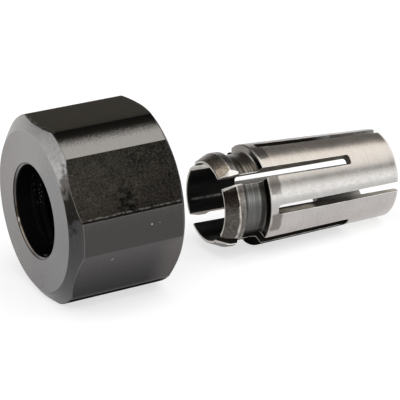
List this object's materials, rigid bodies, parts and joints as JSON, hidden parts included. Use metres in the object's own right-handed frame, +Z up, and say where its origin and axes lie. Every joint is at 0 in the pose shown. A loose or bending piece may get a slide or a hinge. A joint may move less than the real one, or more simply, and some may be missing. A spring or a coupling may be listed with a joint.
{
  "type": "router collet with nut",
  "caption": "Slotted spring collet with a snap-in head for a round tool shank, lying behind its hexagonal clamping nut.",
  "frame": {"origin": "on the table, under the centre of the pair's bounding box", "axes": "+X along the nut's axis from its outer face towards the collet, +Z up"},
  "size_m": [0.0408, 0.019, 0.018],
  "materials": {
    "blackened_steel": "black oxide on turned steel, rubbed light on the lands and the outer face",
    "ground_steel": "bare ground steel with brown tarnish in the neck and at the slots"
  },
  "bodies": {
    "root": {"collet_nut": "blackened_steel", "collet": "ground_steel"}
  },
  "joints": []
}
